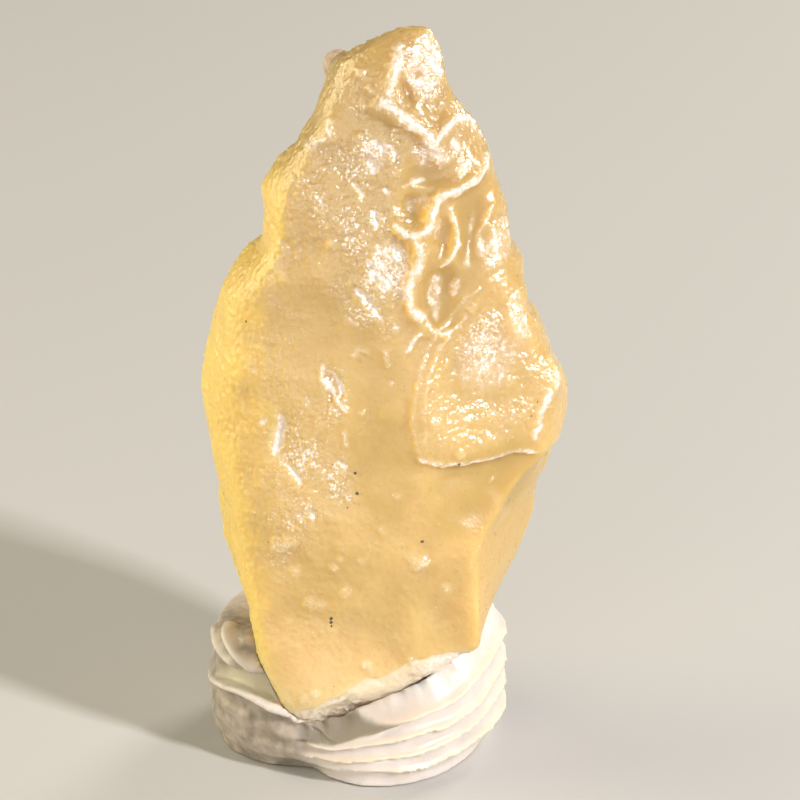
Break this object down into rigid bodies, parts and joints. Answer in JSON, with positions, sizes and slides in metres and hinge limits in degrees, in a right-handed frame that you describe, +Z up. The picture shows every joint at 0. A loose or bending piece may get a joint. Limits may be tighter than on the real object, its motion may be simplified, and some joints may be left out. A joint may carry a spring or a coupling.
{
  "type": "libyan desert glass specimen",
  "caption": "Tall wind-worn lump of pale yellow desert glass with hollows, crests and a ledge, held upright in a folded wad of white display putty.",
  "frame": {"origin": "middle of the putty's flat base, where it stands on a surface", "axes": "+Z up along the glass, -Y out of the glass's front face, +X to the right seen from the front"},
  "size_m": [0.03, 0.0241, 0.0624],
  "materials": {
    "glass": "pale honey-yellow, milky and translucent, with a wind-polished, pitted skin",
    "putty": "white, waxy and slightly translucent"
  },
  "bodies": {
    "root": {"desert_glass": "glass", "display_putty": "putty"}
  },
  "joints": []
}
